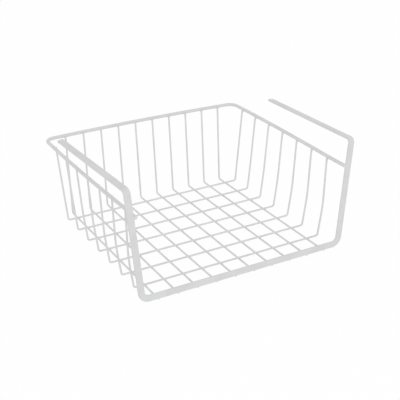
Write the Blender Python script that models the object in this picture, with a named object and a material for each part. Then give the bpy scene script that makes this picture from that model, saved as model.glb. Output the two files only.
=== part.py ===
"""Under shelf basket of coated steel wire, hung from a shelf by two flat arms.

Metres, +Z up. X runs across the basket, and Y from its open front to its back wall.
The basket stands on its long wires at Z = 0, with the origin in the middle of its outline.
"""

import math

import bpy
from mathutils import Vector

# Wire stock, measured over the coating
HANGER_WIDTH = 0.0079
HANGER_THICKNESS = 0.0032
HANGER_EDGE_RADIUS = 0.0013
RIM_DIAMETER = 0.0044
GRID_DIAMETER = 0.0023
WELD_GAP = 0.0003

# Floor grid: long wires run back from under the front bar, and cross wires lie on them
LONG_WIRE_COUNT = 10
LONG_WIRE_PITCH = 0.0250
LONG_WIRE_TO_SIDE_WALL = 0.0143
CROSS_WIRE_COUNT = 7
CROSS_WIRE_PITCH = 0.0323
CROSS_WIRE_TO_BAR = 0.0329
CROSS_WIRE_TO_BACK_WALL = 0.0205
GRID_BEND_RADIUS = 0.0030

# Walls: the grid wires turn up and lean out to the inside of the rim
RIM_HEIGHT = 0.1067
RIM_BEYOND_FLOOR = 0.0120
RIM_SIDE_BOW = 0.0021
RIM_BACK_BOW = 0.0042
RIM_CORNER_RADIUS = 0.0118
RIM_OVERRUN = 0.0006
BACK_WALL_LEAN = 0.0090
TIP_ABOVE_RIM_AXIS = 0.0004
FRONT_WIRE_BOW = 0.0030
BOW_RADIUS = 0.0250
BOW_HEIGHT_SHARE = 0.38

# Hanger: a bar across the front, an upright at each side and an arm back from each upright
BAR_BEYOND_FLOOR = 0.0058
UPRIGHT_SPLAY = 0.0118
SHOULDER_ABOVE_RIM = 0.0317
SHOULDER_SET_BACK = 0.0038
ARM_LENGTH = 0.1728
ARM_SPLAY = 0.0033
ARM_TIP_DROP = 0.0042
BAR_CORNER_RADIUS = 0.0095
SHOULDER_RADIUS = 0.0052

# Trimmed wire ends: a short taper in the coating
TIP_TAPER_LENGTH = 0.0006
TIP_TAPER_SHARE = 0.72

# Facets
GRID_BEND_STEPS = 5
BOW_STEPS = 3
RIM_CORNER_STEPS = 9
RIM_SIDE_CHORDS = 8
RIM_HALF_BACK_CHORDS = 6
HANGER_CORNER_STEPS = 8
HANGER_EDGE_STEPS = 3
GRID_BEVEL_RESOLUTION = 3
RIM_BEVEL_RESOLUTION = 4

# Levels: the cross wires and the bar both lie on the long wires
LONG_WIRE_Z = GRID_DIAMETER / 2
CROSS_WIRE_Z = LONG_WIRE_Z + GRID_DIAMETER + WELD_GAP
BAR_Z = GRID_DIAMETER + WELD_GAP + HANGER_WIDTH / 2
GRID_TIP_Z = RIM_HEIGHT + TIP_ABOVE_RIM_AXIS
SHOULDER_Z = RIM_HEIGHT + SHOULDER_ABOVE_RIM
ARM_TIP_Z = SHOULDER_Z - ARM_TIP_DROP

# Half widths: each piece stands a little further out than the one below it
FLOOR_HALF_WIDTH = (LONG_WIRE_COUNT - 1) * LONG_WIRE_PITCH / 2 + LONG_WIRE_TO_SIDE_WALL
RIM_BACK_HALF_WIDTH = FLOOR_HALF_WIDTH + RIM_BEYOND_FLOOR
BAR_HALF_WIDTH = FLOOR_HALF_WIDTH + BAR_BEYOND_FLOOR
SHOULDER_HALF_WIDTH = BAR_HALF_WIDTH + UPRIGHT_SPLAY
ARM_TIP_HALF_WIDTH = SHOULDER_HALF_WIDTH + ARM_SPLAY

# Depths, from the middle of the outline
CROSS_WIRE_SPAN = (CROSS_WIRE_COUNT - 1) * CROSS_WIRE_PITCH
FLOOR_DEPTH = CROSS_WIRE_TO_BAR + CROSS_WIRE_SPAN + CROSS_WIRE_TO_BACK_WALL
RIM_TO_GRID = (RIM_DIAMETER + GRID_DIAMETER) / 2 + WELD_GAP
BAR_TO_RIM = FLOOR_DEPTH + BACK_WALL_LEAN + RIM_TO_GRID
OUTLINE_DEPTH = HANGER_THICKNESS / 2 + BAR_TO_RIM + RIM_DIAMETER / 2
BAR_Y = (HANGER_THICKNESS - OUTLINE_DEPTH) / 2
BACK_BEND_Y = BAR_Y + FLOOR_DEPTH
RIM_BACK_Y = BAR_Y + BAR_TO_RIM
RIM_CORNER_Y = RIM_BACK_Y - RIM_BACK_BOW
SHOULDER_Y = BAR_Y + SHOULDER_SET_BACK

# The rim's front ends lie against the inner edges of the leaning uprights
UPRIGHT_RISE = SHOULDER_Z - BAR_Z
RIM_ON_UPRIGHT = (RIM_HEIGHT - BAR_Z) / UPRIGHT_RISE
RIM_TO_HANGER = (HANGER_WIDTH + RIM_DIAMETER) / 2 + WELD_GAP
RIM_FRONT_HALF_WIDTH = (
    BAR_HALF_WIDTH
    + UPRIGHT_SPLAY * RIM_ON_UPRIGHT
    - RIM_TO_HANGER * math.hypot(UPRIGHT_SPLAY, UPRIGHT_RISE) / UPRIGHT_RISE
)
UPRIGHT_Y_AT_RIM = BAR_Y + SHOULDER_SET_BACK * RIM_ON_UPRIGHT
RIM_FRONT_Y = UPRIGHT_Y_AT_RIM - HANGER_THICKNESS / 2 - RIM_OVERRUN

# Coating: white with a slight green cast, semi-gloss
HANGER_COLOUR = (0.665, 0.680, 0.668, 1.0)
RIM_COLOUR = (0.645, 0.652, 0.645, 1.0)
GRID_COLOUR = (0.625, 0.630, 0.625, 1.0)
COATING_ROUGHNESS = 0.38


def clear_scene():
    """Remove every object, so that only the basket is left."""
    for thing in list(bpy.data.objects):
        bpy.data.objects.remove(thing, do_unlink=True)


def new_collection(name):
    """A collection of this name, linked to the scene."""
    collection = bpy.data.collections.new(name)
    bpy.context.scene.collection.children.link(collection)
    return collection


def coating(name, colour):
    """The baked coating of one kind of wire."""
    material = bpy.data.materials.new(name)
    material.use_nodes = True
    shader = material.node_tree.nodes["Principled BSDF"]
    shader.inputs["Base Color"].default_value = colour
    shader.inputs["Roughness"].default_value = COATING_ROUGHNESS
    shader.inputs["Metallic"].default_value = 0.0
    material.diffuse_color = colour
    return material


def bend(before, corner, after, radius, steps):
    """Points of the arc that turns a wire at a corner, or the corner where it has no steps."""
    into = (corner - before).normalized()
    out = (after - corner).normalized()
    turn = into.angle(out)
    if turn == 0 or steps == 0:
        return [corner]
    start = corner - into * (radius * math.tan(turn / 2))
    inward = (out - into * into.dot(out)).normalized()
    centre = start + inward * radius
    angles = [turn * step / steps for step in range(steps + 1)]
    return [centre + (into * math.sin(a) - inward * math.cos(a)) * radius for a in angles]


def bent_wire(corners, radii, steps):
    """Points of a wire that runs straight between corners and is bent at each inner one."""
    points = [corners[0]]
    turns = zip(corners, corners[1:], corners[2:], radii, steps)
    for before, corner, after, radius, count in turns:
        points += bend(before, corner, after, radius, count)
    return points + [corners[-1]]


def mirrored(corners):
    """The corners on the other side of the basket."""
    return [Vector((-corner.x, corner.y, corner.z)) for corner in corners]


def with_tapered_ends(points):
    """The points with a taper's start put in near each end."""
    first = points[0] + (points[1] - points[0]).normalized() * TIP_TAPER_LENGTH
    last = points[-1] + (points[-2] - points[-1]).normalized() * TIP_TAPER_LENGTH
    return [points[0], first] + points[1:-1] + [last, points[-1]]


def wire_curve(name, points):
    """A 3-D curve through the points, with filled caps and tapered ends."""
    path = with_tapered_ends(points)
    curve = bpy.data.curves.new(name, "CURVE")
    curve.dimensions = "3D"
    curve.use_fill_caps = True
    spline = curve.splines.new("POLY")
    spline.points.add(len(path) - 1)
    for node, place in zip(spline.points, path):
        node.co = (*place, 1)
    spline.points[0].radius = TIP_TAPER_SHARE
    spline.points[-1].radius = TIP_TAPER_SHARE
    spline.use_smooth = True
    return curve


def add_object(name, curve, material, collection):
    """The curve as an object of the collection, in its coating."""
    curve.materials.append(material)
    thing = bpy.data.objects.new(name, curve)
    collection.objects.link(thing)
    return thing


def round_wire(name, points, diameter, resolution, material, collection):
    """A wire of round section along the points."""
    curve = wire_curve(name, points)
    curve.bevel_depth = diameter / 2
    curve.bevel_resolution = resolution
    return add_object(name, curve, material, collection)


def flat_section(guides):
    """The hanger wire's section: flat faces with rounded edges."""
    corner_x = HANGER_WIDTH / 2 - HANGER_EDGE_RADIUS
    corner_y = HANGER_THICKNESS / 2 - HANGER_EDGE_RADIUS
    quarters = [(1, 1), (-1, 1), (-1, -1), (1, -1)]
    outline = []
    for quarter, (side_x, side_y) in enumerate(quarters):
        for step in range(HANGER_EDGE_STEPS + 1):
            angle = (quarter + step / HANGER_EDGE_STEPS) * math.pi / 2
            x = side_x * corner_x + HANGER_EDGE_RADIUS * math.cos(angle)
            y = side_y * corner_y + HANGER_EDGE_RADIUS * math.sin(angle)
            outline.append((x, y))
    curve = bpy.data.curves.new("hanger_section", "CURVE")
    curve.dimensions = "2D"
    spline = curve.splines.new("POLY")
    spline.points.add(len(outline) - 1)
    for node, (x, y) in zip(spline.points, reversed(outline)):
        node.co = (x, y, 0, 1)
    spline.use_cyclic_u = True
    section = bpy.data.objects.new("hanger_section", curve)
    section.hide_render = True
    section.display_type = "WIRE"
    guides.objects.link(section)
    return section


def roll_of_first_stretch(corners):
    """Roll about a flat wire's first stretch that makes its second bend an edgewise one."""
    first, second, third = [(b - a).normalized() for a, b in zip(corners[:3], corners[1:4])]
    thin_axis = second.cross(third).normalized()
    wide_axis = second.rotation_difference(first) @ thin_axis.cross(second)
    level_axis = first.cross(Vector((0, 0, -1))).normalized()
    return math.atan2(level_axis.cross(wide_axis).dot(first), level_axis.dot(wide_axis))


def build_hanger(parts, guides):
    """One flat wire: arm, upright, front bar, upright and arm."""
    right = [
        Vector((BAR_HALF_WIDTH, BAR_Y, BAR_Z)),
        Vector((SHOULDER_HALF_WIDTH, SHOULDER_Y, SHOULDER_Z)),
        Vector((ARM_TIP_HALF_WIDTH, SHOULDER_Y + ARM_LENGTH, ARM_TIP_Z)),
    ]
    corners = mirrored(right)[::-1] + right
    radii = [SHOULDER_RADIUS, BAR_CORNER_RADIUS, BAR_CORNER_RADIUS, SHOULDER_RADIUS]
    points = bent_wire(corners, radii, [HANGER_CORNER_STEPS] * len(radii))
    curve = wire_curve("hanger_frame", points)
    roll = roll_of_first_stretch(corners)
    for node in curve.splines[0].points:
        node.tilt = roll
    curve.bevel_mode = "OBJECT"
    curve.bevel_object = flat_section(guides)
    add_object("hanger_frame", curve, coating("hanger_coating", HANGER_COLOUR), parts)


def rim_half_width(y):
    """Half width of the rim at a depth: its sides bow out between the uprights and the back."""
    share = (y - RIM_FRONT_Y) / (RIM_CORNER_Y - RIM_FRONT_Y)
    straight = RIM_FRONT_HALF_WIDTH + (RIM_BACK_HALF_WIDTH - RIM_FRONT_HALF_WIDTH) * share
    return straight + RIM_SIDE_BOW * 4 * share * (1 - share)


def rim_depth(x):
    """Depth of the back rim at a place across the basket: it bows out in the middle."""
    return RIM_BACK_Y - RIM_BACK_BOW * (x / RIM_BACK_HALF_WIDTH) ** 2


def rim_corners():
    """Stations along the rim's bowed sides and back, with its two back corners among them."""
    side_length = RIM_CORNER_Y - RIM_FRONT_Y
    ys = [RIM_FRONT_Y + side_length * step / RIM_SIDE_CHORDS for step in range(RIM_SIDE_CHORDS)]
    xs = [RIM_BACK_HALF_WIDTH * step / RIM_HALF_BACK_CHORDS for step in range(RIM_HALF_BACK_CHORDS)]
    right = [Vector((rim_half_width(y), y, RIM_HEIGHT)) for y in ys]
    right.append(Vector((RIM_BACK_HALF_WIDTH, RIM_CORNER_Y, RIM_HEIGHT)))
    right += [Vector((x, rim_depth(x), RIM_HEIGHT)) for x in reversed(xs)]
    return mirrored(right) + right[-2::-1]


def build_rim(parts):
    """The rim: a medium wire round the left, back and right walls."""
    corners = rim_corners()
    steps = [0] * (len(corners) - 2)
    steps[RIM_SIDE_CHORDS - 1] = steps[-RIM_SIDE_CHORDS] = RIM_CORNER_STEPS
    points = bent_wire(corners, [RIM_CORNER_RADIUS] * len(steps), steps)
    material = coating("rim_coating", RIM_COLOUR)
    round_wire("rim_wire", points, RIM_DIAMETER, RIM_BEVEL_RESOLUTION, material, parts)


def build_long_wires(material, parts):
    """Wires from under the middle of the front bar, along the floor and up the back wall."""
    for index in range(LONG_WIRE_COUNT):
        x = (index - (LONG_WIRE_COUNT - 1) / 2) * LONG_WIRE_PITCH
        corners = [
            Vector((x, BAR_Y, LONG_WIRE_Z)),
            Vector((x, BACK_BEND_Y, LONG_WIRE_Z)),
            Vector((x, rim_depth(x) - RIM_TO_GRID, GRID_TIP_Z)),
        ]
        points = bent_wire(corners, [GRID_BEND_RADIUS], [GRID_BEND_STEPS])
        name = f"long_wire_{index + 1:02d}"
        round_wire(name, points, GRID_DIAMETER, GRID_BEVEL_RESOLUTION, material, parts)


def side_wall_corners(y, bow):
    """Corners of a cross wire's right half: floor bend, bowed stretch and tip inside the rim."""
    foot = Vector((FLOOR_HALF_WIDTH, y, CROSS_WIRE_Z))
    tip = Vector((rim_half_width(y) - RIM_TO_GRID, y, GRID_TIP_Z))
    belly = foot.lerp(tip, BOW_HEIGHT_SHARE) + Vector((bow, 0, 0))
    return [foot, belly, tip]


def build_cross_wires(material, parts):
    """Wires up one side wall, across the floor and up the other, numbered from the back."""
    for index in range(CROSS_WIRE_COUNT):
        from_front = CROSS_WIRE_COUNT - 1 - index
        y = BAR_Y + CROSS_WIRE_TO_BAR + from_front * CROSS_WIRE_PITCH
        bow = FRONT_WIRE_BOW * index / (CROSS_WIRE_COUNT - 1)
        right = side_wall_corners(y, bow)
        radii = [BOW_RADIUS, GRID_BEND_RADIUS, GRID_BEND_RADIUS, BOW_RADIUS]
        steps = [BOW_STEPS, GRID_BEND_STEPS, GRID_BEND_STEPS, BOW_STEPS]
        points = bent_wire(mirrored(right)[::-1] + right, radii, steps)
        name = f"cross_wire_{index + 1:02d}"
        round_wire(name, points, GRID_DIAMETER, GRID_BEVEL_RESOLUTION, material, parts)


def main():
    """Build the basket."""
    clear_scene()
    parts = new_collection("under_shelf_basket")
    guides = new_collection("guides")
    build_hanger(parts, guides)
    build_rim(parts)
    grid_coating = coating("grid_coating", GRID_COLOUR)
    build_long_wires(grid_coating, parts)
    build_cross_wires(grid_coating, parts)


main()
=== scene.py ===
"""Looks of an under shelf basket of coated steel wire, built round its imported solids.

Every wire is drawn as a real one is made: its section is extruded along the straights and
turned round each bend, and its trimmed ends are rounded by the coating. Where two wires are
welded, a small fillet of metal and coating joins them. Lengths are in metres, apart from
those whose names end in mm or px.
"""

from __future__ import annotations

import logging
import math
from dataclasses import dataclass
from enum import Enum

import bpy
from mathutils import Matrix, Vector


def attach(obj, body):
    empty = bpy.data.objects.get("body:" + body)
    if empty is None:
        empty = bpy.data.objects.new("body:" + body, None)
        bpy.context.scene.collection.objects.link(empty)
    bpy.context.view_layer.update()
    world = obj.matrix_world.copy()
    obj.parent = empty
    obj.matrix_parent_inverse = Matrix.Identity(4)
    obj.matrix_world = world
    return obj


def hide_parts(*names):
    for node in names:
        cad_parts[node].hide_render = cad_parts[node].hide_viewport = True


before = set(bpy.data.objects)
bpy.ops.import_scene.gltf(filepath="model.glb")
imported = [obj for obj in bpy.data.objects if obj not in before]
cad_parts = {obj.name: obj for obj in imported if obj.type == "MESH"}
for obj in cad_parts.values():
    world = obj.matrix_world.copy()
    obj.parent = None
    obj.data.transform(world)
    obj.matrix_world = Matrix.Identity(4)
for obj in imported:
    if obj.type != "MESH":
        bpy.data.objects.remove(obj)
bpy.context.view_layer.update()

LOG = logging.getLogger("under_shelf_basket")
MM = 0.001
BODY = "root"
WHITE_HEX = "FFFFFF"


class Slot(Enum):
    """The record's material slots."""

    HANGER = "hanger_coating"
    RIM = "rim_coating"
    GRID = "grid_coating"


class Side(Enum):
    """The two sides of the basket, as the sign of X."""

    LEFT = -1
    RIGHT = 1


def linear(hex_colour: str) -> tuple[float, float, float, float]:
    """Turn an sRGB hex colour to linear RGBA.

    Args:
        hex_colour: six hex digits, with or without a leading hash.

    Returns:
        The linear red, green and blue, and an alpha of 1.
    """
    digits = hex_colour.lstrip("#")
    parts = [int(digits[i : i + 2], 16) / 255 for i in (0, 2, 4)]
    red, green, blue = [
        c / 12.92 if c <= 0.04045 else ((c + 0.055) / 1.055) ** 2.4 for c in parts
    ]
    return (red, green, blue, 1.0)


def add_node(
    tree: bpy.types.NodeTree,
    kind: str,
    settings: dict[str, object] | None = None,
    inputs: dict[str, object] | None = None,
) -> bpy.types.Node:
    """Add one node with its settings, socket values and links.

    Args:
        tree: the node tree that gets the node.
        kind: the node's type name.
        settings: values for the node's own properties.
        inputs: a value, or a socket to link from, for each named input.

    Returns:
        The new node.
    """
    node = tree.nodes.new(kind)
    for name, value in (settings or {}).items():
        setattr(node, name, value)
    for name, value in (inputs or {}).items():
        if isinstance(value, bpy.types.NodeSocket):
            tree.links.new(value, node.inputs[name])
        else:
            node.inputs[name].default_value = value
    return node


@dataclass(frozen=True)
class PowderCoat:
    """White polyester powder coat, sprayed on welded steel wire and baked.

    It gives a semi-gloss skin with a faint orange peel, a little greyer where the powder lay
    thin and a little duller on the crests of the peel. A real peel is 1 to 3 mm from crest
    to crest and only a few thousandths of a millimetre deep. That is too shallow to show,
    so it is drawn several times deeper.
    """

    name: str
    full_hex: str
    thin_hex: str
    roughness: tuple[float, float]
    peel_mm: float = 1.8
    peel_height_mm: float = 0.035
    peel_span: tuple[float, float] = (0.3, 0.7)
    drift_mm: float = 16.0
    drift_span: tuple[float, float] = (0.36, 0.60)
    noise_detail: float = 2.0
    ior: float = 1.52

    def material(self) -> bpy.types.Material:
        """Build the coat's material.

        Returns:
            A procedural material on Object coordinates, in metres.
        """
        material = bpy.data.materials.new(self.name)
        material.use_nodes = True
        tree = material.node_tree
        shader = tree.nodes["Principled BSDF"]
        place = add_node(tree, "ShaderNodeTexCoord").outputs["Object"]
        drift, peel = [
            add_node(
                tree,
                "ShaderNodeTexNoise",
                settings={"noise_dimensions": "3D"},
                inputs={
                    "Vector": place,
                    "Scale": 1 / (crest_mm * MM),
                    "Detail": self.noise_detail,
                },
            ).outputs["Fac"]
            for crest_mm in (self.drift_mm, self.peel_mm)
        ]
        colour = add_node(tree, "ShaderNodeValToRGB", inputs={"Fac": drift})
        ramp = colour.color_ramp.elements
        ramp[0].position, ramp[1].position = self.drift_span
        ramp[0].color, ramp[1].color = linear(self.thin_hex), linear(self.full_hex)
        gloss = add_node(
            tree,
            "ShaderNodeMapRange",
            inputs={
                "Value": peel,
                "From Min": self.peel_span[0],
                "From Max": self.peel_span[1],
                "To Min": self.roughness[0],
                "To Max": self.roughness[1],
            },
        )
        bump = add_node(
            tree,
            "ShaderNodeBump",
            inputs={
                "Height": peel,
                "Strength": 1.0,
                "Distance": self.peel_height_mm * MM,
            },
        )
        shader.inputs["IOR"].default_value = self.ior
        tree.links.new(colour.outputs["Color"], shader.inputs["Base Color"])
        tree.links.new(gloss.outputs["Result"], shader.inputs["Roughness"])
        tree.links.new(bump.outputs["Normal"], shader.inputs["Normal"])
        return material


# The coat flows out smoothest on the broad flat wire, and is a little duller on thin wires
COATS = {
    Slot.HANGER: PowderCoat("powder_coat_hanger", "DADBDB", "D6D6D6", (0.34, 0.42)),
    Slot.RIM: PowderCoat("powder_coat_rim", "DCDDDD", "D8D8D8", (0.36, 0.44)),
    Slot.GRID: PowderCoat("powder_coat_grid", "DDDEDE", "D8D8D8", (0.38, 0.46)),
}


@dataclass(frozen=True)
class BasketSizes:
    """Sizes of the basket, as the solids have them."""

    # Wire stock, measured over the coating
    hanger_width: float = 0.0079
    hanger_thickness: float = 0.0032
    hanger_edge_radius: float = 0.0013
    rim_diameter: float = 0.0044
    grid_diameter: float = 0.0023
    weld_gap: float = 0.0003

    # Floor grid
    long_wire_count: int = 10
    long_wire_pitch: float = 0.0250
    long_wire_to_side_wall: float = 0.0143
    cross_wire_count: int = 7
    cross_wire_pitch: float = 0.0323
    cross_wire_to_bar: float = 0.0329
    cross_wire_to_back_wall: float = 0.0205
    grid_bend_radius: float = 0.0030

    # Walls and rim
    rim_height: float = 0.1067
    rim_beyond_floor: float = 0.0120
    rim_side_bow: float = 0.0021
    rim_back_bow: float = 0.0042
    rim_corner_radius: float = 0.0118
    rim_overrun: float = 0.0006
    back_wall_lean: float = 0.0090
    tip_above_rim_axis: float = 0.0004
    front_wire_bow: float = 0.0030
    bow_height_share: float = 0.38

    # Hanger
    bar_beyond_floor: float = 0.0058
    upright_splay: float = 0.0118
    shoulder_above_rim: float = 0.0317
    shoulder_set_back: float = 0.0038
    arm_length: float = 0.1728
    arm_splay: float = 0.0033
    arm_tip_drop: float = 0.0042
    bar_corner_radius: float = 0.0095
    shoulder_radius: float = 0.0052

    @property
    def long_wire_z(self) -> float:
        """Height of the long wires' axis on the floor."""
        return self.grid_diameter / 2

    @property
    def cross_wire_z(self) -> float:
        """Height of the cross wires' axis on the floor."""
        return self.long_wire_z + self.grid_diameter + self.weld_gap

    @property
    def bar_z(self) -> float:
        """Height of the front bar's axis."""
        return self.grid_diameter + self.weld_gap + self.hanger_width / 2

    @property
    def grid_tip_z(self) -> float:
        """Height of the grid wires' upper tips."""
        return self.rim_height + self.tip_above_rim_axis

    @property
    def shoulder_z(self) -> float:
        """Height of the shoulders, where the uprights turn into arms."""
        return self.rim_height + self.shoulder_above_rim

    @property
    def floor_half_width(self) -> float:
        """Half width of the floor, to the foot of a side wall."""
        span = (self.long_wire_count - 1) * self.long_wire_pitch
        return span / 2 + self.long_wire_to_side_wall

    @property
    def bar_half_width(self) -> float:
        """Half width of the front bar, to the corners of its axis."""
        return self.floor_half_width + self.bar_beyond_floor

    @property
    def rim_to_grid(self) -> float:
        """From the rim's axis to that of a grid wire inside it."""
        return (self.rim_diameter + self.grid_diameter) / 2 + self.weld_gap

    @property
    def floor_depth(self) -> float:
        """From the bar's axis to the foot of the back wall."""
        span = (self.cross_wire_count - 1) * self.cross_wire_pitch
        return self.cross_wire_to_bar + span + self.cross_wire_to_back_wall

    @property
    def bar_to_rim(self) -> float:
        """From the bar's axis to that of the back rim."""
        return self.floor_depth + self.back_wall_lean + self.rim_to_grid

    @property
    def bar_y(self) -> float:
        """Depth of the bar's axis, from the middle of the outline."""
        return (self.hanger_thickness / 2 - self.bar_to_rim - self.rim_diameter / 2) / 2

    @property
    def rim_back_y(self) -> float:
        """Depth of the back rim's axis in its middle."""
        return self.bar_y + self.bar_to_rim

    @property
    def rim_corner_y(self) -> float:
        """Depth of the rim's back corners."""
        return self.rim_back_y - self.rim_back_bow

    @property
    def rim_on_upright(self) -> float:
        """How far up an upright the rim meets it, as a share."""
        return (self.rim_height - self.bar_z) / (self.shoulder_z - self.bar_z)

    @property
    def upright_y_at_rim(self) -> float:
        """Depth of an upright's axis where the rim meets it."""
        return self.bar_y + self.shoulder_set_back * self.rim_on_upright

    @property
    def rim_front_y(self) -> float:
        """Depth of the rim's front ends."""
        return self.upright_y_at_rim - self.hanger_thickness / 2 - self.rim_overrun

    @property
    def upright_x_at_rim(self) -> float:
        """Half width between the uprights' axes where the rim meets them."""
        return self.bar_half_width + self.upright_splay * self.rim_on_upright

    @property
    def rim_front_half_width(self) -> float:
        """Half width of the rim at its front ends.

        Returns:
            The distance of the rim's axis from the middle plane, beside a leaning upright.
        """
        rise = self.shoulder_z - self.bar_z
        slant = math.hypot(self.upright_splay, rise) / rise
        reach = (self.hanger_width + self.rim_diameter) / 2 + self.weld_gap
        return self.upright_x_at_rim - reach * slant

    @property
    def rim_back_half_width(self) -> float:
        """Half width of the rim at its back corners."""
        return self.floor_half_width + self.rim_beyond_floor

    def rim_half_width(self, y: float) -> float:
        """Half width of the rim at a depth.

        Args:
            y: the depth.

        Returns:
            The distance of the rim's axis from the middle plane.
        """
        share = (y - self.rim_front_y) / (self.rim_corner_y - self.rim_front_y)
        front = self.rim_front_half_width
        straight = front + (self.rim_back_half_width - front) * share
        return straight + self.rim_side_bow * 4 * share * (1 - share)

    def rim_depth(self, x: float) -> float:
        """Depth of the back rim, which bows out in its middle, at a place across."""
        return self.rim_back_y - self.rim_back_bow * (x / self.rim_back_half_width) ** 2

    def side_rim_point(self, y: float) -> Vector:
        """Point of the right rim's axis at a depth."""
        return Vector((self.rim_half_width(y), y, self.rim_height))

    def back_rim_point(self, x: float) -> Vector:
        """Point of the back rim's axis at a place across the basket."""
        return Vector((x, self.rim_depth(x), self.rim_height))

    def long_wire_x(self, index: int) -> float:
        """Place of a long wire across the basket, counted from the left."""
        return (index - (self.long_wire_count - 1) / 2) * self.long_wire_pitch

    def cross_wire_y(self, index: int) -> float:
        """Depth of a cross wire, counted from the back."""
        from_front = self.cross_wire_count - 1 - index
        return self.bar_y + self.cross_wire_to_bar + from_front * self.cross_wire_pitch


SIZES = BasketSizes()


@dataclass(frozen=True)
class WeldPress:
    """How far welding has pressed the wires into each other.

    The solids keep a hair's gap at every weld instead.
    """

    cross_into_long: float = 0.00045
    long_into_bar: float = 0.0009
    tip_into_rim: float = 0.0005
    tip_trim: float = 0.0008
    rim_into_upright: float = 0.0012


PRESS = WeldPress()


def deselect() -> None:
    """Leave edit mode and deselect every object."""
    if bpy.context.mode != "OBJECT":
        bpy.ops.object.mode_set(mode="OBJECT")
    bpy.ops.object.select_all(action="DESELECT")


def only(piece: bpy.types.Object) -> None:
    """Select one object and make it active.

    Args:
        piece: the object.
    """
    deselect()
    piece.select_set(True)
    bpy.context.view_layer.objects.active = piece


def apply_place(piece: bpy.types.Object) -> None:
    """Move an object's place into its mesh."""
    only(piece)
    bpy.ops.object.transform_apply(location=True, rotation=True, scale=True)


def apply_modifier(piece: bpy.types.Object, kind: str, **settings: object) -> None:
    """Add a modifier to a piece and apply it.

    Args:
        piece: the piece.
        kind: the modifier's type.
        **settings: values of the modifier's properties.
    """
    only(piece)
    modifier = piece.modifiers.new(kind.lower(), kind)
    for name, value in settings.items():
        setattr(modifier, name, value)
    bpy.ops.object.modifier_apply(modifier=modifier.name)


def mirrored(points: list[Vector]) -> list[Vector]:
    """The same points on the other side of the basket."""
    return [Vector((-p.x, p.y, p.z)) for p in points]


@dataclass(frozen=True)
class RoundSection:
    """Section of a round wire."""

    diameter: float
    sides: int

    @property
    def reach(self) -> float:
        """A distance from the wire's axis that takes in the whole outline."""
        return self.diameter

    def add(self) -> bpy.types.Object:
        """Add the section's outline.

        Returns:
            A ring of edges round the origin, in the XY plane.
        """
        deselect()
        bpy.ops.mesh.primitive_circle_add(
            vertices=self.sides, radius=self.diameter / 2, fill_type="NOTHING"
        )
        return bpy.context.active_object


@dataclass(frozen=True)
class FlatSection:
    """Section of a flat wire with rounded edges."""

    width: float
    thickness: float
    edge_radius: float
    edge_steps: int

    @property
    def reach(self) -> float:
        """A distance from the wire's axis that takes in the whole outline."""
        return self.width

    def add(self) -> bpy.types.Object:
        """Add the section's outline.

        Returns:
            A ring of edges round the origin, in the XY plane and wide along X.
        """
        deselect()
        bpy.ops.mesh.primitive_plane_add(size=1)
        outline = bpy.context.active_object
        bpy.ops.object.mode_set(mode="EDIT")
        bpy.ops.transform.resize(value=(self.width, self.thickness, 1))
        bpy.ops.mesh.bevel(
            offset=self.edge_radius,
            offset_type="OFFSET",
            segments=self.edge_steps,
            affect="VERTICES",
        )
        bpy.ops.mesh.select_all(action="SELECT")
        bpy.ops.mesh.delete(type="ONLY_FACE")
        bpy.ops.object.mode_set(mode="OBJECT")
        return outline


@dataclass(frozen=True)
class Bend:
    """One bend of a wire: the radius of its axis and how many facets draw it."""

    radius: float
    steps: int

    def setback(self, turn: float) -> float:
        """Distance from the corner to each end of the bend, for a turn in radians."""
        return self.radius * math.tan(turn / 2)


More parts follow.
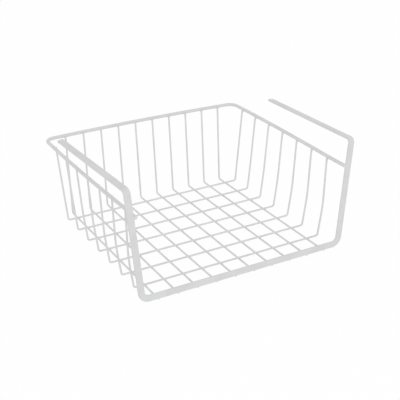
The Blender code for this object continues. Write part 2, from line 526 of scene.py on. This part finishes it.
@dataclass
class FormedWire:
    """A wire that is extruded from its section and turned round each of its corners.

    A corner that turns by less than least_turn, in radians, is left straight. A vertex
    belongs to the first end if it lies within end_nearness of that end's plane.
    """

    name: str
    section: RoundSection | FlatSection
    corners: list[Vector]
    bends: list[Bend]
    tip_radius: float
    wide_axis: Vector | None = None
    tip_steps: int = 4
    least_turn: float = 1e-4
    end_nearness: float = 0.00005
    smooth_angle: float = math.radians(40)

    def headings(self) -> list[Vector]:
        """Direction of each straight stretch."""
        return [(b - a).normalized() for a, b in zip(self.corners, self.corners[1:])]

    def section_place(self, heading: Vector) -> Matrix:
        """Place of the section at the wire's first end.

        Args:
            heading: direction of the first stretch.

        Returns:
            The matrix that takes the outline from the XY plane to the wire's end.
        """
        wide = self.wide_axis or heading.orthogonal().normalized()
        turn = Matrix((wide, heading.cross(wide), heading)).transposed()
        return Matrix.Translation(self.corners[0]) @ turn.to_4x4()

    def extrude(self, step: Vector) -> None:
        """Extrude the selected end by a step."""
        bpy.ops.mesh.extrude_edges_move(TRANSFORM_OT_translate={"value": step})

    def bend_round(self, bend: Bend, corner: Vector, into: Vector, out: Vector) -> Vector:
        """Turn the selected end round one corner.

        Args:
            bend: the bend.
            corner: where the two straights would meet.
            into: direction of the straight before it.
            out: direction of the straight after it.

        Returns:
            Where the bend ends.
        """
        turn = into.angle(out)
        setback = bend.setback(turn)
        inward = (out - into * into.dot(out)).normalized()
        bpy.ops.mesh.spin(
            steps=bend.steps,
            angle=-turn,
            center=corner - into * setback + inward * bend.radius,
            axis=into.cross(out).normalized(),
        )
        return corner + out * setback

    def close_tip(self) -> None:
        """Cap the selected end and round its edge, as the coating does."""
        bpy.ops.mesh.edge_face_add()
        bpy.ops.mesh.bevel(
            offset=self.tip_radius,
            offset_type="OFFSET",
            segments=self.tip_steps,
            affect="EDGES",
        )

    def select_first_end(self, piece: bpy.types.Object, heading: Vector) -> None:
        """Select the outline at the wire's first end.

        Args:
            piece: the wire.
            heading: direction of its first stretch.
        """
        bpy.ops.mesh.select_all(action="DESELECT")
        bpy.ops.object.mode_set(mode="OBJECT")
        for vertex in piece.data.vertices:
            away = vertex.co - self.corners[0]
            in_plane = abs(away.dot(heading)) < self.end_nearness
            vertex.select = in_plane and away.length < self.section.reach
        bpy.ops.object.mode_set(mode="EDIT")

    def form(self) -> bpy.types.Object:
        """Build the wire.

        Returns:
            The wire as a closed mesh, its object at the origin.
        """
        headings = self.headings()
        piece = self.section.add()
        piece.name = piece.data.name = self.name
        piece.matrix_world = self.section_place(headings[0])
        apply_place(piece)
        bpy.ops.object.mode_set(mode="EDIT")
        bpy.ops.mesh.select_all(action="SELECT")
        place = self.corners[0]
        turns = zip(self.bends, self.corners[1:], headings, headings[1:])
        for bend, corner, into, out in turns:
            turn = into.angle(out)
            if turn < self.least_turn:
                continue
            self.extrude(corner - into * bend.setback(turn) - place)
            place = self.bend_round(bend, corner, into, out)
        self.extrude(self.corners[-1] - place)
        self.close_tip()
        self.select_first_end(piece, headings[0])
        self.close_tip()
        bpy.ops.mesh.select_all(action="SELECT")
        bpy.ops.mesh.normals_make_consistent(inside=False)
        only(piece)
        bpy.ops.object.shade_smooth_by_angle(angle=self.smooth_angle)
        return piece


@dataclass
class Dressing:
    """Gives finished pieces their coat, slot and body."""

    coats: dict[Slot, bpy.types.Material]

    def dress(self, piece: bpy.types.Object, slot: Slot, *nodes: str) -> None:
        """Dress one piece.

        Args:
            piece: the piece.
            slot: the material slot that it takes its finish from.
            *nodes: the solids that it stands for.
        """
        piece.data.materials.clear()
        piece.data.materials.append(self.coats[slot])
        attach(piece, BODY)
        if nodes:
            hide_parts(*nodes)
        LOG.info("%s: %d faces", piece.name, len(piece.data.polygons))


@dataclass
class HangerFrame:
    """The flat wire that carries the basket: arm, upright, front bar, upright and arm."""

    sizes: BasketSizes = SIZES
    edge_steps: int = 7
    corner_steps: int = 16
    shoulder_steps: int = 14
    tip_radius: float = 0.0007

    def corners(self) -> list[Vector]:
        """Corners of the wire's axis.

        Returns:
            The left arm's tip, the corners in order, and the right arm's tip.
        """
        s = self.sizes
        shoulder_x = s.bar_half_width + s.upright_splay
        shoulder_y = s.bar_y + s.shoulder_set_back
        tip_z = s.shoulder_z - s.arm_tip_drop
        right = [
            Vector((s.bar_half_width, s.bar_y, s.bar_z)),
            Vector((shoulder_x, shoulder_y, s.shoulder_z)),
            Vector((shoulder_x + s.arm_splay, shoulder_y + s.arm_length, tip_z)),
        ]
        return mirrored(right)[::-1] + right

    def first_wide_axis(self, headings: list[Vector]) -> Vector:
        """The section's wide axis at the left tip, which leaves the front frame flat."""
        thin = headings[1].cross(headings[2]).normalized()
        return headings[1].rotation_difference(headings[0]) @ thin.cross(headings[1])

    def build(self, dressing: Dressing) -> None:
        """Build and dress the hanger.

        Args:
            dressing: what dresses it.
        """
        s = self.sizes
        shoulder = Bend(s.shoulder_radius, self.shoulder_steps)
        corner = Bend(s.bar_corner_radius, self.corner_steps)
        wire = FormedWire(
            name="coated_hanger_frame",
            section=FlatSection(
                s.hanger_width, s.hanger_thickness, s.hanger_edge_radius, self.edge_steps
            ),
            corners=self.corners(),
            bends=[shoulder, corner, corner, shoulder],
            tip_radius=self.tip_radius,
        )
        wire.wide_axis = self.first_wide_axis(wire.headings())
        dressing.dress(wire.form(), Slot.HANGER, "hanger_frame")


@dataclass
class Rim:
    """The medium wire round the left, back and right walls."""

    sizes: BasketSizes = SIZES
    press: WeldPress = PRESS
    sides: int = 32
    corner_steps: int = 28
    side_chords: int = 8
    half_back_chords: int = 6
    bow_radius: float = 0.9
    bow_steps: int = 3
    tip_radius: float = 0.0009

    @property
    def front_half_width(self) -> float:
        """Half width at the front ends, which welding has pressed into the uprights."""
        return self.sizes.rim_front_half_width + self.press.rim_into_upright

    def corners(self) -> list[Vector]:
        """Corners of the rim's axis.

        Returns:
            The left front end, stations along the bowed sides and back, and the right end.
        """
        s = self.sizes
        length = s.rim_corner_y - s.rim_front_y
        right = [Vector((self.front_half_width, s.rim_front_y, s.rim_height))]
        for step in range(1, self.side_chords):
            y = s.rim_front_y + length * step / self.side_chords
            right.append(s.side_rim_point(y))
        right.append(Vector((s.rim_back_half_width, s.rim_corner_y, s.rim_height)))
        for step in reversed(range(self.half_back_chords)):
            x = s.rim_back_half_width * step / self.half_back_chords
            right.append(s.back_rim_point(x))
        return mirrored(right) + right[-2::-1]

    def bends(self) -> list[Bend]:
        """The bend at each inner corner.

        Returns:
            Tight bends at the two back corners, and slack ones in the bows.
        """
        slack = Bend(self.bow_radius, self.bow_steps)
        bends = [slack] * (2 * (self.side_chords + self.half_back_chords) - 1)
        tight = Bend(self.sizes.rim_corner_radius, self.corner_steps)
        bends[self.side_chords - 1] = bends[-self.side_chords] = tight
        return bends

    def build(self, dressing: Dressing) -> None:
        """Build and dress the rim.

        Args:
            dressing: what dresses it.
        """
        wire = FormedWire(
            name="coated_rim_wire",
            section=RoundSection(self.sizes.rim_diameter, self.sides),
            corners=self.corners(),
            bends=self.bends(),
            tip_radius=self.tip_radius,
        )
        dressing.dress(wire.form(), Slot.RIM, "rim_wire")


@dataclass
class WireGrid:
    """The thin wires of the floor and walls.

    The side walls' wires bow out in a long even curve, where the solids bend more briefly.
    """

    sizes: BasketSizes = SIZES
    press: WeldPress = PRESS
    sides: int = 20
    bend_steps: int = 10
    bow_radius: float = 0.2500
    bow_steps: int = 8
    press_length: float = 0.0060
    press_radius: float = 0.0200
    press_steps: int = 5
    tip_radius: float = 0.0005

    @property
    def cross_z(self) -> float:
        """Height of the cross wires' axis once they are pressed into the long ones."""
        return self.sizes.cross_wire_z - self.press.cross_into_long

    @property
    def tip_z(self) -> float:
        """Height of the wires' trimmed upper tips."""
        return self.sizes.grid_tip_z - self.press.tip_trim

    @property
    def rim_to_tip(self) -> float:
        """From the rim's axis to that of a wire pressed into it."""
        return self.sizes.rim_to_grid - self.press.tip_into_rim

    def long_wire_corners(self, index: int) -> list[Vector]:
        """Corners of a long wire: end pressed up to the bar, floor, foot and tip.

        Args:
            index: the wire's number from the left, from 0.

        Returns:
            The corners of its axis.
        """
        s = self.sizes
        x = s.long_wire_x(index)
        foot_y = s.bar_y + s.floor_depth
        return [
            Vector((x, s.bar_y, s.long_wire_z + self.press.long_into_bar)),
            Vector((x, s.bar_y + self.press_length, s.long_wire_z)),
            Vector((x, foot_y, s.long_wire_z)),
            Vector((x, s.rim_depth(x) - self.rim_to_tip, self.tip_z)),
        ]

    def side_wall_corners(self, index: int) -> list[Vector]:
        """Corners of a cross wire's right half: foot, bowed stretch and tip at the rim.

        Args:
            index: the wire's number from the back, from 0.

        Returns:
            The corners of its axis.
        """
        s = self.sizes
        y = s.cross_wire_y(index)
        bow = s.front_wire_bow * index / (s.cross_wire_count - 1)
        foot = Vector((s.floor_half_width, y, self.cross_z))
        tip = Vector((s.rim_half_width(y) - self.rim_to_tip, y, self.tip_z))
        belly = foot.lerp(tip, s.bow_height_share) + Vector((bow, 0, 0))
        return [foot, belly, tip]

    def build_wire(
        self, dressing: Dressing, node: str, corners: list[Vector], bends: list[Bend]
    ) -> None:
        """Build and dress one thin wire.

        Args:
            dressing: what dresses it.
            node: the solid that it stands for.
            corners: the corners of its axis.
            bends: the bend at each inner corner.
        """
        wire = FormedWire(
            name=f"coated_{node}",
            section=RoundSection(self.sizes.grid_diameter, self.sides),
            corners=corners,
            bends=bends,
            tip_radius=self.tip_radius,
        )
        dressing.dress(wire.form(), Slot.GRID, node)

    def build(self, dressing: Dressing) -> None:
        """Build and dress the long wires and the cross wires.

        Args:
            dressing: what dresses them.
        """
        s = self.sizes
        corner = Bend(s.grid_bend_radius, self.bend_steps)
        bow = Bend(self.bow_radius, self.bow_steps)
        press = Bend(self.press_radius, self.press_steps)
        for index in range(s.long_wire_count):
            node = f"long_wire_{index + 1:02d}"
            self.build_wire(dressing, node, self.long_wire_corners(index), [press, corner])
        for index in range(s.cross_wire_count):
            node = f"cross_wire_{index + 1:02d}"
            right = self.side_wall_corners(index)
            corners = mirrored(right)[::-1] + right
            self.build_wire(dressing, node, corners, [bow, corner, corner, bow])


@dataclass(frozen=True)
class Lump:
    """A drawn-out lump of a weld, before the lumps flow together."""

    centre: Vector
    heading: Vector
    half_length: float
    radius: float
    segments: int = 24
    rings: int = 14

    def add(self) -> bpy.types.Object:
        """Add the lump.

        Returns:
            A sphere drawn out along its heading, its object at the origin.
        """
        deselect()
        bpy.ops.mesh.primitive_uv_sphere_add(
            segments=self.segments,
            ring_count=self.rings,
            radius=self.radius,
            location=self.centre,
            rotation=self.heading.to_track_quat("Z", "Y").to_euler(),
            scale=(1, 1, self.half_length / self.radius),
        )
        lump = bpy.context.active_object
        apply_place(lump)
        return lump


@dataclass(frozen=True)
class Member:
    """One of the two wires that a weld joins, and how far the weld runs along it."""

    point: Vector
    heading: Vector
    radius: float
    half_length: float

    def on(self, side: Side) -> Member:
        """A right-hand wire, taken to one side of the basket."""
        flip = Vector((side.value, 1, 1))
        return Member(self.point * flip, self.heading * flip, self.radius, self.half_length)


@dataclass
class Welds:
    """The fillets of metal and coating where wires are welded to each other.

    A weld starts as a lump round each wire and a neck between them, all a little stouter
    than the wires, and then flows together. Under the bar it sits a share of its half length
    behind the bar's axis, where the long wire still has a share of its lift. Its neck is
    stouter there and at the uprights. The rim's direction at a weld is that of a short
    chord, a share of the wires' pitch.
    """

    rim: Rim
    grid: WireGrid
    sizes: BasketSizes = SIZES
    press: WeldPress = PRESS
    swell: float = 0.00013
    grain: float = 0.00028
    flow_passes: int = 9
    flow_factor: float = 0.5
    kept_share: float = 0.45
    grid_half_length: float = 0.0029
    stout_half_length: float = 0.0042
    neck_radius: float = 0.00085
    bar_seat_share: float = 0.8
    bar_lift_share: float = 0.7
    bar_neck_scale: float = 1.8
    upright_run_share: float = 0.9
    upright_neck_scale: float = 1.5
    chord_share: float = 0.1

    @property
    def hanger_member_radius(self) -> float:
        """Radius of a member whose swollen lump is as thick as the hanger wire."""
        return self.sizes.hanger_thickness / 2 - self.swell

    def flow_together(self, lumps: list[Lump]) -> bpy.types.Object:
        """Melt lumps into one weld with hollow fillets between them.

        Args:
            lumps: the lumps.

        Returns:
            The weld, its object at the origin.
        """
        weld = self.joined([lump.add() for lump in lumps])
        apply_modifier(weld, "REMESH", mode="VOXEL", voxel_size=self.grain)
        apply_modifier(
            weld, "SMOOTH", factor=self.flow_factor, iterations=self.flow_passes
        )
        apply_modifier(weld, "DECIMATE", ratio=self.kept_share)
        return weld

    def joined(self, made: list[bpy.types.Object]) -> bpy.types.Object:
        """Join objects.

        Args:
            made: the objects.

        Returns:
            The first of them, which now holds them all.
        """
        only(made[0])
        for other in made[1:]:
            other.select_set(True)
        if len(made) > 1:
            bpy.ops.object.join()
        return made[0]

    def copied(self, weld: bpy.types.Object, steps: list[Vector]) -> list[bpy.types.Object]:
        """Copies of a weld, each with its own mesh, moved by these steps.

        Args:
            weld: the weld to copy, which is removed.
            steps: how far each copy lies from it.

        Returns:
            The copies.
        """
        copies = []
        for step in steps:
            only(weld)
            bpy.ops.object.duplicate(linked=False)
            copy = bpy.context.active_object
            copy.location = step
            apply_place(copy)
            copies.append(copy)
        bpy.data.objects.remove(weld)
        return copies

    def weld(self, first: Member, second: Member, neck_radius: float) -> bpy.types.Object:
        """Make the weld between two wires.

        Args:
            first: one wire, at its point nearest the other.
            second: the other wire.
            neck_radius: radius of the neck between them.

        Returns:
            The weld: a lump on each wire, drawn towards the other one, and the neck.
        """
        across = (second.point - first.point).normalized()
        lumps = [
            Lump(
                wire.point + inward * self.swell,
                wire.heading,
                wire.half_length,
                wire.radius + self.swell,
            )
            for wire, inward in ((first, across), (second, -across))
        ]
        first_skin = first.point + across * first.radius
        second_skin = second.point - across * second.radius
        middle = (first_skin + second_skin) / 2
        return self.flow_together(lumps + [Lump(middle, across, neck_radius, neck_radius)])

    def grid_member(self, point: Vector, heading: Vector) -> Member:
        """A thin wire as a member."""
        return Member(point, heading, self.sizes.grid_diameter / 2, self.grid_half_length)

    def floor_welds(self) -> bpy.types.Object:
        """Make the welds where the cross wires lie on the long wires.

        Returns:
            The welds as one piece.
        """
        s = self.sizes
        weld = self.weld(
            self.grid_member(Vector((0, 0, s.long_wire_z)), Vector((0, 1, 0))),
            self.grid_member(Vector((0, 0, self.grid.cross_z)), Vector((1, 0, 0))),
            self.neck_radius,
        )
        steps = [
            Vector((s.long_wire_x(i), s.cross_wire_y(j), 0))
            for i in range(s.long_wire_count)
            for j in range(s.cross_wire_count)
        ]
        return self.joined(self.copied(weld, steps))

    def bar_welds(self) -> bpy.types.Object:
        """Make the welds where the long wires end under the front bar.

        Returns:
            The welds as one piece.
        """
        s = self.sizes
        radius = self.hanger_member_radius
        wire_y = s.bar_y + self.grid_half_length * self.bar_seat_share
        wire_z = s.long_wire_z + self.press.long_into_bar * self.bar_lift_share
        bar_z = s.bar_z - s.hanger_width / 2 + radius
        bar = Vector((0, s.bar_y, bar_z))
        weld = self.weld(
            self.grid_member(Vector((0, wire_y, wire_z)), Vector((0, 1, 0))),
            Member(bar, Vector((1, 0, 0)), radius, self.stout_half_length),
            self.neck_radius * self.bar_neck_scale,
        )
        steps = [Vector((s.long_wire_x(i), 0, 0)) for i in range(s.long_wire_count)]
        return self.joined(self.copied(weld, steps))

    def tip_members(
        self, below: Vector, tip: Vector, rim: Vector, beside: Vector
    ) -> tuple[Member, Member]:
        """The two members of the weld between a thin wire's tip and the rim.

        Args:
            below: a point further down the wire's axis.
            tip: the wire's tip.
            rim: the nearest point of the rim's axis.
            beside: a point a little further along the rim's axis.

        Returns:
            The wire and the rim.
        """
        heading = (tip - below).normalized()
        along = (beside - rim).normalized()
        radius = self.sizes.rim_diameter / 2
        return (
            self.grid_member(tip - heading * self.grid_half_length, heading),
            Member(rim, along, radius, self.stout_half_length),
        )

    def back_rim_welds(self) -> bpy.types.Object:
        """Make the welds between the long wires' tips and the back rim.

        Returns:
            The welds as one piece.
        """
        s = self.sizes
        chord = s.long_wire_pitch * self.chord_share
        made = []
        for index in range(s.long_wire_count):
            foot, tip = self.grid.long_wire_corners(index)[-2:]
            rim, beside = s.back_rim_point(tip.x), s.back_rim_point(tip.x + chord)
            wire, rim_wire = self.tip_members(foot, tip, rim, beside)
            made.append(self.weld(wire, rim_wire, self.neck_radius))
        return self.joined(made)

    def side_rim_welds(self) -> bpy.types.Object:
        """Make the welds between the cross wires' tips and the side rims.

        Returns:
            The welds as one piece.
        """
        s = self.sizes
        chord = s.cross_wire_pitch * self.chord_share
        made = []
        for side in Side:
            for index in range(s.cross_wire_count):
                _, belly, tip = self.grid.side_wall_corners(index)
                rim, behind = s.side_rim_point(tip.y), s.side_rim_point(tip.y + chord)
                wire, rim_wire = self.tip_members(belly, tip, rim, behind)
                made.append(self.weld(wire.on(side), rim_wire.on(side), self.neck_radius))
        return self.joined(made)

    def upright_welds(self) -> bpy.types.Object:
        """Make the welds between the rim's front ends and the uprights' inner edges.

        Returns:
            The welds as one piece.
        """
        s = self.sizes
        radius = self.hanger_member_radius
        edge_x = s.upright_x_at_rim - s.hanger_width / 2 + radius
        rise = s.shoulder_z - s.bar_z
        upright = Member(
            Vector((edge_x, s.upright_y_at_rim, s.rim_height)),
            Vector((s.upright_splay, s.shoulder_set_back, rise)).normalized(),
            radius,
            self.stout_half_length,
        )
        rim_end = Member(
            Vector((self.rim.front_half_width, s.upright_y_at_rim, s.rim_height)),
            Vector((0, 1, 0)),
            s.rim_diameter / 2,
            self.grid_half_length * self.upright_run_share,
        )
        neck_radius = self.neck_radius * self.upright_neck_scale
        made = [
            self.weld(rim_end.on(side), upright.on(side), neck_radius) for side in Side
        ]
        return self.joined(made)

    def build(self, dressing: Dressing) -> None:
        """Build and dress the welds.

        Args:
            dressing: what dresses them.
        """
        families = {
            "floor_welds": (self.floor_welds, Slot.GRID),
            "bar_welds": (self.bar_welds, Slot.GRID),
            "back_rim_welds": (self.back_rim_welds, Slot.RIM),
            "side_rim_welds": (self.side_rim_welds, Slot.RIM),
            "upright_welds": (self.upright_welds, Slot.HANGER),
        }
        for name, (make, slot) in families.items():
            piece = make()
            piece.name = piece.data.name = name
            only(piece)
            bpy.ops.object.shade_smooth()
            dressing.dress(piece, slot)


@dataclass
class PaperSweep:
    """The floor, a disc of white paper that curves up into a wall all round."""

    radius: float = 2.0
    curve_radius: float = 0.5
    curve_steps: int = 8
    wall_height: float = 3.0
    sides: int = 96
    paper_hex: str = "454545"
    glow: float = 0.94

    def material(self) -> bpy.types.Material:
        """Build the material of the paper.

        Returns:
            Matt paper, lit from its own lamps until it is just white in the picture.
        """
        material = bpy.data.materials.new("white_paper")
        material.use_nodes = True
        shader = material.node_tree.nodes["Principled BSDF"]
        shader.inputs["Base Color"].default_value = linear(self.paper_hex)
        shader.inputs["Roughness"].default_value = 1.0
        shader.inputs["Specular IOR Level"].default_value = 0.0
        shader.inputs["Emission Color"].default_value = linear(WHITE_HEX)
        shader.inputs["Emission Strength"].default_value = self.glow
        return material

    def extrude_up(self, rise: float) -> None:
        """Extrude the selected edge upwards."""
        bpy.ops.mesh.extrude_edges_move(TRANSFORM_OT_translate={"value": (0, 0, rise)})

    def build(self) -> None:
        """Build the sweep, which only the camera sees, so it can't tint the wires."""
        deselect()
        bpy.ops.mesh.primitive_circle_add(
            vertices=self.sides, radius=self.radius, fill_type="NGON", location=(0, 0, 0)
        )
        sweep = bpy.context.active_object
        sweep.name = "white_sweep"
        bpy.ops.object.mode_set(mode="EDIT")
        reached, height = self.radius, 0.0
        for step in range(1, self.curve_steps + 1):
            angle = math.radians(90 * step / self.curve_steps)
            new_reach = self.radius + self.curve_radius * math.sin(angle)
            new_height = self.curve_radius * (1 - math.cos(angle))
            self.extrude_up(new_height - height)
            share = new_reach / reached
            bpy.ops.transform.resize(
                value=(share, share, 1), center_override=(0, 0, new_height)
            )
            reached, height = new_reach, new_height
        self.extrude_up(self.wall_height)
        only(sweep)
        bpy.ops.object.shade_smooth()
        sweep.data.materials.append(self.material())
        for ray in ("diffuse", "glossy", "transmission", "shadow"):
            setattr(sweep, f"visible_{ray}", False)


@dataclass
class SoftLight:
    """A white tent that glows evenly, and a soft box at the left front."""

    tent_glow: float = 0.872
    box_size: float = 1.0
    box_watts: float = 2.9
    box_place: tuple[float, float, float] = (-0.42, -1.55, 0.55)
    box_aim: tuple[float, float, float] = (0, 0, 0.05)

    def build(self) -> None:
        """Light the basket."""
        scene = bpy.context.scene
        world = bpy.data.worlds.new("soft_tent")
        world.use_nodes = True
        glow = world.node_tree.nodes["Background"]
        glow.inputs["Color"].default_value = linear(WHITE_HEX)
        glow.inputs["Strength"].default_value = self.tent_glow
        scene.world = world
        lamp = bpy.data.lights.new("front_softbox", "AREA")
        lamp.shape = "SQUARE"
        lamp.size = self.box_size
        lamp.energy = self.box_watts
        softbox = bpy.data.objects.new("front_softbox", lamp)
        softbox.visible_camera = False
        place = Vector(self.box_place)
        aim = (Vector(self.box_aim) - place).to_track_quat("-Z", "Y").to_matrix()
        softbox.matrix_world = Matrix.Translation(place) @ aim.to_4x4()
        scene.collection.objects.link(softbox)
        scene.view_settings.view_transform = "Standard"


@dataclass
class PhotoCamera:
    """The camera that the photograph was taken with, in that picture's pixels."""

    place: tuple[float, float, float] = (-0.4733, -0.8517, 0.5046)
    back: tuple[float, float, float] = (-0.43826, -0.77739, 0.45113)
    roll: float = math.radians(-0.1397)
    focal_px: float = 861.42
    centre_px: tuple[float, float] = (195.125, 221.182)
    image_px: int = 400
    sensor_width_mm: float = 36.0

    def build(self) -> None:
        """Add the camera and make it the scene's own."""
        camera = bpy.data.cameras.new("camera")
        camera.sensor_width = self.sensor_width_mm
        camera.lens = self.sensor_width_mm * self.focal_px / self.image_px
        half = self.image_px / 2
        camera.shift_x = (half - self.centre_px[0]) / self.image_px
        camera.shift_y = (self.centre_px[1] - half) / self.image_px
        mount = bpy.data.objects.new("camera", camera)
        level = (-Vector(self.back)).to_track_quat("-Z", "Y").to_matrix()
        turn = level @ Matrix.Rotation(self.roll, 3, "Z")
        mount.matrix_world = Matrix.Translation(self.place) @ turn.to_4x4()
        bpy.context.scene.collection.objects.link(mount)
        bpy.context.scene.camera = mount


def main() -> None:
    """Build the studio and the basket, and report each piece."""
    logging.basicConfig(level=logging.INFO, format="%(message)s")
    dressing = Dressing({slot: coat.material() for slot, coat in COATS.items()})
    for fitting in (PaperSweep(), SoftLight(), PhotoCamera()):
        fitting.build()
    rim = Rim()
    grid = WireGrid()
    for assembly in (HangerFrame(), rim, grid, Welds(rim, grid)):
        assembly.build(dressing)


if __name__ == "__main__":
    main()
